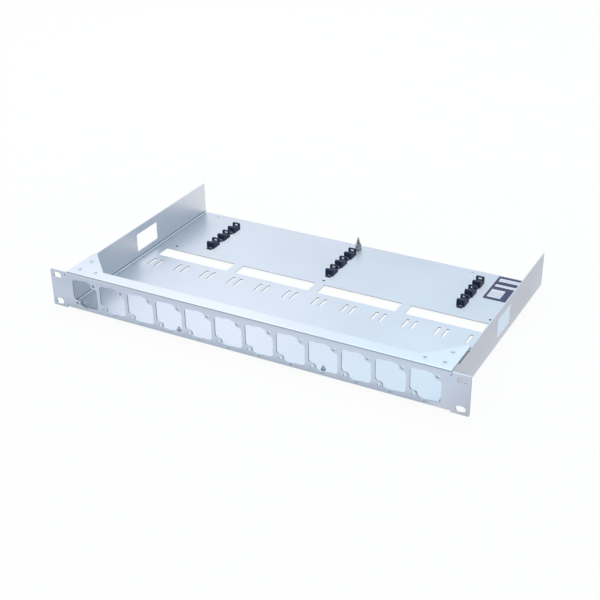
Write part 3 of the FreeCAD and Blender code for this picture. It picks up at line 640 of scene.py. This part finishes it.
def use(piece, kind, **settings):
    """add a modifier to a piece and apply it"""
    made = piece.modifiers.new(kind.lower(), kind)
    for key, value in settings.items():
        setattr(made, key, value)
    bpy.context.view_layer.objects.active = piece
    bpy.ops.object.modifier_apply(modifier=made.name)


def carve(piece, tool, operation="DIFFERENCE"):
    """cut one piece with another, or join them, and throw the tool away"""
    use(piece, "BOOLEAN", object=tool, operation=operation, solver="EXACT")
    bpy.data.objects.remove(tool)


def soften(piece, width, segments=2, limit=40):
    """round edges sharper than the limit, as far as the clamp allows, and shade the piece smooth"""
    use(piece, "BEVEL", width=width * MM, segments=segments, limit_method="ANGLE",
        angle_limit=math.radians(limit))
    bpy.ops.object.select_all(action="DESELECT")
    piece.select_set(True)
    bpy.context.view_layer.objects.active = piece
    bpy.ops.object.shade_smooth_by_angle(angle=math.radians(limit))
    piece.select_set(False)


print("block helpers ready")

# %% [markdown]
# A cable clip is one nylon moulding: a jaw with a low loop in front, a hollow seat for the cable, an
# upright eye behind for a cable tie, and a barbed pin that snaps through the tray's floor. Looking from
# the side, everything above the seat is a profile along Y. So the piece starts as a low block as long as
# the clip, is sliced across where the seat's curve needs points, and the slices are raised to the curve.
# The eye is one extrusion.

# %% Clip block
CLIP_HALF = 4.7
CLIP_LONG = 14.4
JAW_HIGH = 7.8
JAW_LONG = 3.4
JAW_EDGE = 0.8
SEAT_HIGH = 4.2
SEAT_END = 11.8
EYE_HIGH = 8.3
SEAT_SLICES = 9
seat_run, seat_fall = SEAT_END - JAW_LONG, JAW_HIGH - SEAT_HIGH
seat_radius = (seat_run ** 2 + seat_fall ** 2) / (2 * seat_fall)


def seat_height(y):
    """height of the jaw or of the hollow seat at a place along the clip"""
    reach = SEAT_END - max(y, JAW_LONG)
    return SEAT_HIGH + seat_radius - math.sqrt(seat_radius ** 2 - reach ** 2)


clip = block("clip_1", (-CLIP_HALF, 0, 0), (CLIP_HALF, CLIP_LONG, SEAT_HIGH))
begin(clip)
cuts = [JAW_LONG + seat_run * step / SEAT_SLICES for step in range(SEAT_SLICES + 1)]
for y in cuts:
    bpy.ops.mesh.select_all(action="SELECT")
    bpy.ops.mesh.bisect(plane_co=mm(0, y, 0), plane_no=(0, 1, 0))
pick(clip, "FACE", lambda at: near(at.z, SEAT_HIGH) and at.y > SEAT_END)
bpy.ops.mesh.extrude_region_move(TRANSFORM_OT_translate={"value": mm(0, 0, EYE_HIGH - SEAT_HIGH)})
for y in [0] + cuts[:-1]:
    pick(clip, "VERT", lambda at: near(at.z, SEAT_HIGH) and near(at.y, y))
    move(0, 0, seat_height(y) - SEAT_HIGH)
print("clip block:", len(clip.data.polygons), "faces at the start, seat radius", round(seat_radius, 2))

# %% [markdown]
# Next come the edges that the mould rounds on purpose: a chamfer along the jaw's front, where the cable is
# pushed in, and round shoulders on the eye.

# %% Clip edges
EYE_ROUND = 0.7
pick(clip, "EDGE", lambda at: near(at.y, 0) and near(at.z, JAW_HIGH))
bpy.ops.mesh.bevel(offset=JAW_EDGE * MM, segments=1, affect="EDGES")
pick(clip, "EDGE", lambda at: near(abs(at.x), CLIP_HALF) and near(at.z, EYE_HIGH)
     and near(at.y, (SEAT_END + CLIP_LONG) / 2))
bpy.ops.mesh.bevel(offset=EYE_ROUND * MM, segments=5, affect="EDGES")
end()
print("clip with its edges:", len(clip.data.polygons), "faces")

# %% [markdown]
# The eye has a window for a cable tie, the jaw stands on a low arch, and the loop in front has a slot. All
# three have round corners. So each is cut with a block whose edges are rounded along one axis, and the
# loop is such a block too, joined on.

# %% Clip openings
EYE_WINDOW = ((-2.5, SEAT_END - 1, 4.5), (2.5, CLIP_LONG + 1, 7.3))
ARCH = ((-2.2, -1, -1), (2.2, JAW_LONG, 1.5))
LOOP = ((-3.4, -3.6, 0), (3.4, 0.4, 0.9))
LOOP_SLOT = ((-2.1, -2.7, -1), (2.1, -1.3, 2))


def rounded_block(name, low, high, radius, axis, segments=3):
    """a block whose edges along one axis are rounded"""
    piece = block(name, low, high)
    begin(piece)
    centre = (Vector(low) + Vector(high)) / 2
    pick(piece, "EDGE", lambda at: near(at[axis], centre[axis])
         and all(not near(at[other], centre[other]) for other in range(3) if other != axis))
    bpy.ops.mesh.bevel(offset=radius * MM, segments=segments, affect="EDGES")
    end()
    return piece


carve(clip, rounded_block("window_tool", *EYE_WINDOW, radius=0.5, axis=AXIS_Y))
carve(clip, rounded_block("arch_tool", *ARCH, radius=0.7, axis=AXIS_Y))
loop = rounded_block("loop", *LOOP, radius=1.0, axis=AXIS_Z)
carve(loop, rounded_block("slot_tool", *LOOP_SLOT, radius=0.5, axis=AXIS_Z))
carve(clip, loop, "UNION")
print("clip with its openings:", len(clip.data.polygons), "faces")

# %% [markdown]
# The pin is turned, not carved: it starts as a short round bar, and its lower face is drawn out and made
# wider or narrower again and again. The same helper makes the rivets and the stud later on. Each step
# names the radius and the height that the face ends at. The joined clip is shaded smooth, and what looks
# rounded on it are the jaw's chamfer, the eye's shoulders and the corners of its openings.

# %% Turned shapes


def turned(name, steps, sides=32):
    """a round piece from steps of radius and height in millimetres, the first two making a bar"""
    (radius, start), (_, level) = steps[:2]
    bpy.ops.mesh.primitive_cylinder_add(
        vertices=sides, radius=radius * MM, depth=abs(level - start) * MM,
        location=mm(0, 0, (start + level) / 2))
    piece = bpy.context.object
    piece.name = name
    settle(piece)
    begin(piece)
    pick(piece, "FACE", lambda at: near(at.z, level, slack=0.001))
    for wide, high in steps[2:]:
        bpy.ops.mesh.extrude_region_move(TRANSFORM_OT_translate={"value": mm(0, 0, high - level)})
        bpy.ops.transform.resize(value=(wide / radius, wide / radius, 1), center_override=mm(0, 0, high))
        radius, level = wide, high
    bpy.ops.mesh.select_all(action="SELECT")
    bpy.ops.mesh.normals_make_consistent(inside=False)
    end()
    return piece


PIN_BACK = 5.8
PIN_STEPS = [(1.5, 0.6), (1.5, -TRAY_SHEET), (1.95, -TRAY_SHEET), (1.62, -1.9)]
CLIP_EDGE = 0.22
pin = turned("clip_pin", PIN_STEPS, sides=24)
begin(pin)
bpy.ops.mesh.select_all(action="SELECT")
move(0, PIN_BACK, 0)
end()
carve(clip, pin, "UNION")
soften(clip, CLIP_EDGE)
print("clip with its pin:", len(clip.data.polygons), "faces")

# %% [markdown]
# One clip is copied to the nine places where the CAD model has them. Each copy has its own mesh, and its
# place is put into that mesh, so that the grit of the plastic isn't the same on every clip. The black clips
# are left out of the steel's reflections: the real plating is too matt to mirror such small things.

# %% Nine clips
CLIP_COUNT = 9
floor_top = panel_foot + PANEL_SHEET + TRAY_SHEET


def copy_to(piece, name, x, y, z):
    """a copy of a piece with its own mesh, moved by millimetres"""
    made = piece.copy()
    made.data = piece.data.copy()
    made.name = name
    bpy.context.scene.collection.objects.link(made)
    made.location = mm(x, y, z)
    settle(made)
    return made


def stand_for(piece, node_name, material):
    """dress a new piece, let it ride on the shelf and hide the CAD node that it stands for"""
    dress(piece, material)
    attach(piece, "root")
    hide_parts(node_name)


for place in range(1, CLIP_COUNT + 1):
    low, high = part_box(f"cable_clip_{place}")
    x, y = (low.x + high.x) / 2 / MM, low.y / MM
    made = copy_to(clip, f"clip_at_{place}", x, y, floor_top)
    stand_for(made, f"cable_clip_{place}", clip_plastic)
    made.visible_glossy = False
bpy.data.objects.remove(clip)
print("clips:", CLIP_COUNT, "each with", len(made.data.polygons), "faces")

# %% [markdown]
# A blind rivet is set from one side with a puller. Its head is a low dome with a round pit, where the
# pulling pin broke off inside. On the other side the sleeve has been squeezed into a bulb, and the broken
# pin still stands in it. The head and the tail are each a round profile, so both are turned and joined.
# The six rivets on the gussets show their heads.

# %% Gusset rivets
RIVET_EDGE = 0.04
GUSSET_STEPS = [
    (1.6, -2.6), (1.6, 0.0), (2.9, 0.0), (2.87, 0.08), (2.6, 0.22), (2.1, 0.36), (1.6, 0.45),
    (1.42, 0.44), (1.32, 0.34), (1.25, -0.55), (0.95, -0.60), (0.80, -0.45),
]
GUSSET_TAIL = [
    (1.6, -2.4), (1.6, -2.5), (2.35, -2.5), (2.6, -2.85), (2.6, -3.6), (2.35, -4.1), (1.9, -4.4),
    (1.25, -4.4), (1.2, -4.15), (0.9, -4.15), (0.75, -4.38),
]


def rivet(name, head_steps, tail_steps):
    """a set blind rivet from its head and its tail"""
    piece = turned(name, head_steps)
    carve(piece, turned("tail_tool", tail_steps), "UNION")
    soften(piece, RIVET_EDGE, segments=1, limit=50)
    return piece


head_rivet = rivet("head_rivet", GUSSET_STEPS, GUSSET_TAIL)
for side in ("left", "right"):
    for place in (1, 2, 3):
        name = f"gusset_rivet_{side}_{place}"
        low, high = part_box(name)
        x, y = (low.x + high.x) / 2 / MM, (low.y + high.y) / 2 / MM
        made = copy_to(head_rivet, f"{side}_rivet_{place}", x, y, panel_high.z / MM)
        stand_for(made, name, rivet_steel)
bpy.data.objects.remove(head_rivet)
print("gusset rivets: 6, each with", len(made.data.polygons), "faces")

# %% [markdown]
# Four more rivets hold the tray's floor to the panel. Their heads lie flush underneath, so that nothing
# hits the unit below, and the front openings show their tails. They are made in the same way, but the
# other way up, with a head that narrows into the sheet and a broken pin that stands further out.

# %% Floor rivets
FLOOR_HEAD = [(1.6, 2.4), (1.6, 0.81), (3.0, 0.0), (1.1, 0.0), (1.05, 0.3), (0.8, 0.35)]
FLOOR_TAIL = [
    (1.6, 2.3), (1.6, 2.5), (2.45, 2.5), (2.6, 2.75), (2.6, 3.7), (2.4, 4.1), (2.0, 4.4), (1.35, 4.4),
    (1.3, 4.25), (1.2, 4.3), (1.2, 6.0), (1.05, 6.3), (0.75, 6.45), (0.7, 6.7),
]

flush_rivet = rivet("flush_rivet", FLOOR_HEAD, FLOOR_TAIL)
for place in (1, 2, 3, 4):
    name = f"floor_rivet_{place}"
    low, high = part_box(name)
    x, y = (low.x + high.x) / 2 / MM, (low.y + high.y) / 2 / MM
    made = copy_to(flush_rivet, f"tray_rivet_{place}", x, y, panel_foot)
    stand_for(made, name, rivet_steel)
bpy.data.objects.remove(flush_rivet)
print("floor rivets: 4, each with", len(made.data.polygons), "faces")

# %% [markdown]
# The earth stud is pressed into the floor from below and carries an M4 thread that ends in a plain pilot
# tip, so that the nut starts straight. A thread is one small zigzag profile, swept round and up by the
# Screw modifier. Two cuts across close its ends, and a bar with a chamfer trims it.

# %% Thread
THREAD_OUTER, THREAD_ROOT, THREAD_PITCH = 1.98, 1.56, 0.7
THREAD_FOOT, THREAD_TOP, THREAD_END = 0.9, 13.3, 0.6
CREST_SHARE = 0.25
SLICE_LIFT = 0.011
THREAD_SIDES = 32
TOUCHING = 1e-7


def thread(name, turns):
    """a closed screw thread that starts at the floor"""
    width = THREAD_OUTER - THREAD_ROOT
    bpy.ops.mesh.primitive_plane_add(size=1, rotation=(math.radians(90), 0, 0), location=mm(
        THREAD_ROOT + width / 2, 0, THREAD_PITCH / 2))
    piece = bpy.context.object
    piece.name = name
    piece.scale = (width * MM, THREAD_PITCH * MM, 1)
    settle(piece)
    begin(piece)
    pick(piece, "VERT", lambda at: near(at.x, THREAD_OUTER))
    bpy.ops.transform.resize(
        value=(1, 1, CREST_SHARE), center_override=mm(THREAD_OUTER, 0, THREAD_PITCH / 2))
    bpy.ops.mesh.select_all(action="SELECT")
    bpy.ops.mesh.delete(type="ONLY_FACE")
    pick(piece, "EDGE", lambda at: near(at.x, THREAD_ROOT))
    bpy.ops.mesh.delete(type="EDGE")
    end()
    use(piece, "SCREW", angle=math.tau, screw_offset=THREAD_PITCH * MM, iterations=turns,
        steps=THREAD_SIDES, render_steps=THREAD_SIDES, use_merge_vertices=True,
        merge_threshold=TOUCHING)
    begin(piece)
    for level, keep_above in ((THREAD_PITCH, True), (THREAD_PITCH * (turns - 1), False)):
        bpy.ops.mesh.select_all(action="SELECT")
        bpy.ops.mesh.remove_doubles(threshold=TOUCHING)
        bpy.ops.mesh.bisect(
            plane_co=mm(0, 0, level + SLICE_LIFT), plane_no=(0, 0, 1), use_fill=True,
            clear_inner=keep_above, clear_outer=not keep_above)
    bpy.ops.mesh.select_all(action="SELECT")
    bpy.ops.mesh.normals_make_consistent(inside=False)
    end()
    return piece


stud = thread("stud_thread", turns=21)
trim = turned("trim_bar", [(2.4, THREAD_FOOT), (2.4, THREAD_TOP - THREAD_END), (1.5, THREAD_TOP)])
carve(stud, trim, "INTERSECT")
print("thread:", len(stud.data.polygons), "faces")

# %% [markdown]
# The stud's core is a turned bar: a flush head in the floor, a plain neck, the root of the thread and the
# pilot tip. It is joined to the thread and moved to its place near the tray's rear edge. Its two nuts and
# two washers stay as the CAD model has them, because their shape is complete there.

# %% Earth stud
STUD_STEPS = [
    (3.8, -TRAY_SHEET), (3.8, 0.0), (1.9, 0.0), (1.9, 0.95), (1.6, 1.0), (1.6, 13.2), (1.25, 13.5),
    (1.2, 15.1), (1.05, 15.45), (0.75, 15.6),
]
STUD_SMOOTH = 35
carve(stud, turned("stud_core", STUD_STEPS), "UNION")
begin(stud)
bpy.ops.mesh.select_all(action="SELECT")
low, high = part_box("earth_stud")
move((low.x + high.x) / 2 / MM, (low.y + high.y) / 2 / MM, floor_top)
end()
bpy.ops.object.select_all(action="DESELECT")
stud.select_set(True)
bpy.context.view_layer.objects.active = stud
bpy.ops.object.shade_smooth_by_angle(angle=math.radians(STUD_SMOOTH))
stud.name = "threaded_stud"
stand_for(stud, "earth_stud", fastener_steel)
print("earth stud:", len(stud.data.polygons), "faces")

# %% [markdown]
# A label is glued to the floor in the rear right corner. It is a thin dark blue film with rounded corners.
# A block with four rounded edges is all that it needs, because its thickness is hardly seen.

# %% Label film
LABEL_THICK, LABEL_CORNER = 0.12, 1.2
FILM_SCALE = 350.0
SHEEN = 0.04
LABEL_LOW = (173.2, 220.0, floor_top)
LABEL_HIGH = (213.0, 276.5, floor_top + LABEL_THICK)


def film(name, dark, light, roughness):
    """printed plastic film, nearly even"""
    made, tree, shader, place = new_material(name)
    cover = noise(tree, place, FILM_SCALE, detail=3.0)
    join(tree, tint(tree, spread(tree, cover, 0.0, 1.0), dark, light), shader.inputs["Base Color"])
    join(tree, ramp(tree, cover, roughness - SHEEN, roughness + SHEEN), shader.inputs["Roughness"])
    shader.inputs["Specular IOR Level"].default_value = 0.3
    bump(tree, shader, cover, strength=0.1, distance=0.00003)
    return made


label_blue = film(
    "label_blue", dark=(0.032, 0.036, 0.110), light=(0.038, 0.043, 0.130), roughness=0.42)
label_white = film(
    "label_white", dark=(0.72, 0.74, 0.84), light=(0.78, 0.80, 0.90), roughness=0.48)


def lay(piece, material):
    """a new piece that only the scene has"""
    dress(piece, material)
    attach(piece, "root")


label = rounded_block(
    "label_film", LABEL_LOW, LABEL_HIGH, radius=LABEL_CORNER, axis=AXIS_Z, segments=4)
lay(label, label_blue)
print("label, mm:", [round(b - a, 2) for a, b in zip(LABEL_LOW, LABEL_HIGH)])

# %% [markdown]
# The label has empty fields of white ink with fine ruled lines. Each is given as left, front, right and
# back, in millimetres from the label's front left corner. They are thin blocks, because flat faces in the
# same place as the film would flicker.

# %% Label fields
FIELD_INK, RULE_INK = 0.03, 0.015
FIELDS = [(3.0, 5.0, 18.5, 24.0), (3.0, 31.0, 35.5, 36.5), (3.0, 44.0, 35.5, 51.5)]
RULES = [(3.0, at, 18.5, at + 0.4) for at in (9.0, 13.0, 17.0)] + [(3.0, 47.4, 35.5, 47.8)]


def printed(name, areas, level, thick, material):
    """flat printed blocks on the label, joined into one piece"""
    made = []
    for left, front, right, back in areas:
        x, y, z = LABEL_LOW[0], LABEL_LOW[1], LABEL_HIGH[2] + level
        made.append(block(name, (x + left, y + front, z), (x + right, y + back, z + thick)))
    bpy.ops.object.select_all(action="DESELECT")
    for piece in made:
        piece.select_set(True)
    bpy.context.view_layer.objects.active = made[0]
    bpy.ops.object.join()
    lay(made[0], material)


printed("label_fields", FIELDS, 0, FIELD_INK, label_white)
printed("label_rules", RULES, FIELD_INK, RULE_INK, label_blue)
print("label fields:", len(FIELDS))

# %% [markdown]
# The scene is a plain studio: a pale floor, two large soft lamps and an even white surround. A plated
# sheet shows what stands round it, so the floor glows in painted tones for the metal, a painted reflection:
# bright and cool in front, darker on the left and on the right, bright and warm behind, and a painted
# shadow close to the panel, which keeps the light off it there. Each tone blends into the next over a
# stretch in metres.

# %% What the metal sees of the floor
# painted reflection tones that the metal sees on the floor
GROUND_LEFT, GROUND_FRONT = (0.90, 0.95, 1.01), (1.11, 1.18, 1.24)
GROUND_REAR, GROUND_RIGHT = (1.50, 1.40, 1.30), (0.92, 0.86, 0.87)
# a painted shadow close to the panel, as the metal sees it
GROUND_CLOSE_SHADOW = (0.80, 0.86, 0.90)
FROM_LEFT, TO_REAR, TO_RIGHT = (-0.24, -0.10), (-0.05, 0.05), (0.20, 0.24)
CLOSE_STARTS, CLOSE_ENDS, CLOSE_STOPS_AT_EAR = (-0.016, -0.010), (0.002, 0.0), (0.195, 0.21)


def ground_colour(tree, spot):
    """the painted tones that the metal sees of the floor, by place"""
    across, along = spot[AXIS_X], spot[AXIS_Y]
    colour = tint(tree, ramp(tree, across, 0.0, 1.0, *FROM_LEFT), GROUND_LEFT, GROUND_FRONT)
    colour = recolour(tree, colour, ramp(tree, along, 0.0, 1.0, *TO_REAR), GROUND_REAR)
    colour = recolour(tree, colour, ramp(tree, across, 0.0, 1.0, *TO_RIGHT), GROUND_RIGHT)
    before_face = ramp(tree, along, 0.0, 1.0, *CLOSE_STARTS)
    close = both(tree, before_face, ramp(tree, along, 0.0, 1.0, *CLOSE_ENDS))
    close = both(tree, close, ramp(tree, across, 1.0, 0.0, *CLOSE_STOPS_AT_EAR))
    return recolour(tree, colour, close, GROUND_CLOSE_SHADOW)


print("the floor's tones blend along X over", FROM_LEFT, TO_RIGHT, "and along Y over", TO_REAR)

# %% [markdown]
# The floor is one large plane just under the shelf. A Light Path node tells its paint who is looking: the
# camera gets nearly plain white, the metal gets mostly the tones above, and all else gets a matt paint
# that takes shadows. Under the three plain holes the paint takes the tray's full shadow, so that the holes
# look as deep as they are.

# %% Floor
FLOOR_SIZE = 12.0
FLOOR_DROP = 0.00005
FLOOR_WHITE = (0.93, 0.93, 0.93, 1)
EYE_WHITE, MIRROR_WHITE = 0.92, 0.72
PLAIN_HOLES = (-198, 0, 198)
HOLE_REACH, HOLE_FRONT, HOLE_BACK = 5, 172, 184


def larger(tree, first, second):
    """the larger of two values"""
    made = tree.nodes.new("ShaderNodeMath")
    made.operation = "MAXIMUM"
    join(tree, first, made.inputs[0])
    join(tree, second, made.inputs[1])
    return made.outputs[0]


bpy.ops.mesh.primitive_plane_add(size=FLOOR_SIZE, location=(0, 0, cad_low.z - FLOOR_DROP))
floor = bpy.context.object
floor.name = "floor"
floor_paint, tree, shader, place = new_material("floor_paint")
shader.inputs["Base Color"].default_value = FLOOR_WHITE
shader.inputs["Roughness"].default_value = 0.9
shader.inputs["Specular IOR Level"].default_value = 0.1
seen = node(tree, "ShaderNodeLightPath")
eye = larger(tree, seen.outputs["Is Camera Ray"], seen.outputs["Is Transmission Ray"])
mirror = seen.outputs["Is Glossy Ray"]
white = node(tree, "ShaderNodeEmission", Strength=1.0)
spot = parts(tree, place)
join(tree, recolour(tree, ground_colour(tree, spot), eye, (1, 1, 1)), white.inputs["Color"])
share = larger(tree, ramp(tree, eye, 0.0, EYE_WHITE), ramp(tree, mirror, 0.0, MIRROR_WHITE))
for x in PLAIN_HOLES:
    under = within(tree, spot, (x - HOLE_REACH, HOLE_FRONT, -1), (x + HOLE_REACH, HOLE_BACK, 1))
    share = both(tree, share, ramp(tree, under, 1.0, 0.0))
blend = tree.nodes.new("ShaderNodeMixShader")
join(tree, share, blend.inputs[0])
join(tree, shader.outputs["BSDF"], blend.inputs[1])
join(tree, white.outputs["Emission"], blend.inputs[2])
output = next(item for item in tree.nodes if item.type == "OUTPUT_MATERIAL")
join(tree, blend.outputs["Shader"], output.inputs["Surface"])
dress(floor, floor_paint)
floor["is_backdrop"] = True
print("floor at", round(floor.location.z, 5))

# %% [markdown]
# The surround is a world with two shades. The camera and the metal see plain white, as in a light tent.
# The soft light that it throws on matt surfaces is weaker, so that the lamps still shape the object.

# %% Surround
FILL = 0.9
FILL_COLOUR = (0.92, 0.96, 1.0, 1)

world = bpy.data.worlds.new("surround")
bpy.context.scene.world = world
world.use_nodes = True
tree = world.node_tree
tree.nodes.clear()
seen = node(tree, "ShaderNodeLightPath")
light = node(tree, "ShaderNodeBackground", Color=FILL_COLOUR, Strength=FILL)
backdrop = node(tree, "ShaderNodeBackground", Color=(1, 1, 1, 1), Strength=1.0)
blend = tree.nodes.new("ShaderNodeMixShader")
eye = larger(tree, seen.outputs["Is Camera Ray"], seen.outputs["Is Transmission Ray"])
join(tree, larger(tree, eye, seen.outputs["Is Glossy Ray"]), blend.inputs[0])
join(tree, light.outputs["Background"], blend.inputs[1])
join(tree, backdrop.outputs["Background"], blend.inputs[2])
output = tree.nodes.new("ShaderNodeOutputWorld")
join(tree, blend.outputs["Shader"], output.inputs["Surface"])
print("surround: fill", FILL)

# %% [markdown]
# Two soft lamps hang above and behind the shelf: one on the left, and a stronger, cooler one in the
# middle. From there they light the tray's floor and the flange, while the panel's face gets its light
# from the surround. Large lamps keep the shadows soft.

# %% Lamps
LAMP_TARGET = (0, 0.10, 0)


def soft_lamp(name, place, size, power, colour):
    """a square soft lamp at a place, turned to the tray"""
    data = bpy.data.lights.new(name, "AREA")
    data.shape = "SQUARE"
    data.size = size
    data.energy = power
    data.color = colour
    lamp = bpy.data.objects.new(name, data)
    bpy.context.scene.collection.objects.link(lamp)
    lamp.location = place
    aim = Vector(LAMP_TARGET) - Vector(place)
    lamp.rotation_euler = aim.to_track_quat("-Z", "Y").to_euler()
    return lamp


soft_lamp("key_lamp", (-0.90, 0.95, 1.18), size=0.9, power=2.6, colour=(1.0, 0.98, 0.99))
soft_lamp("side_lamp", (0.00, 0.95, 1.25), size=0.8, power=3.4, colour=(0.54, 0.93, 1.0))
bpy.context.scene.view_settings.view_transform = "Standard"

# %% [markdown]
# Last, the whole is measured. The box of the CAD model was taken right after loading, and the box of all
# visible pieces is taken now and printed. The two should agree, but for the thickness of the ink on the
# panel's face and for rivets with a slightly lower dome; they are not compared here.

# %% Measure and finish
low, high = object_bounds()
print("visual box, mm:", [round(v / MM, 2) for v in high - low])
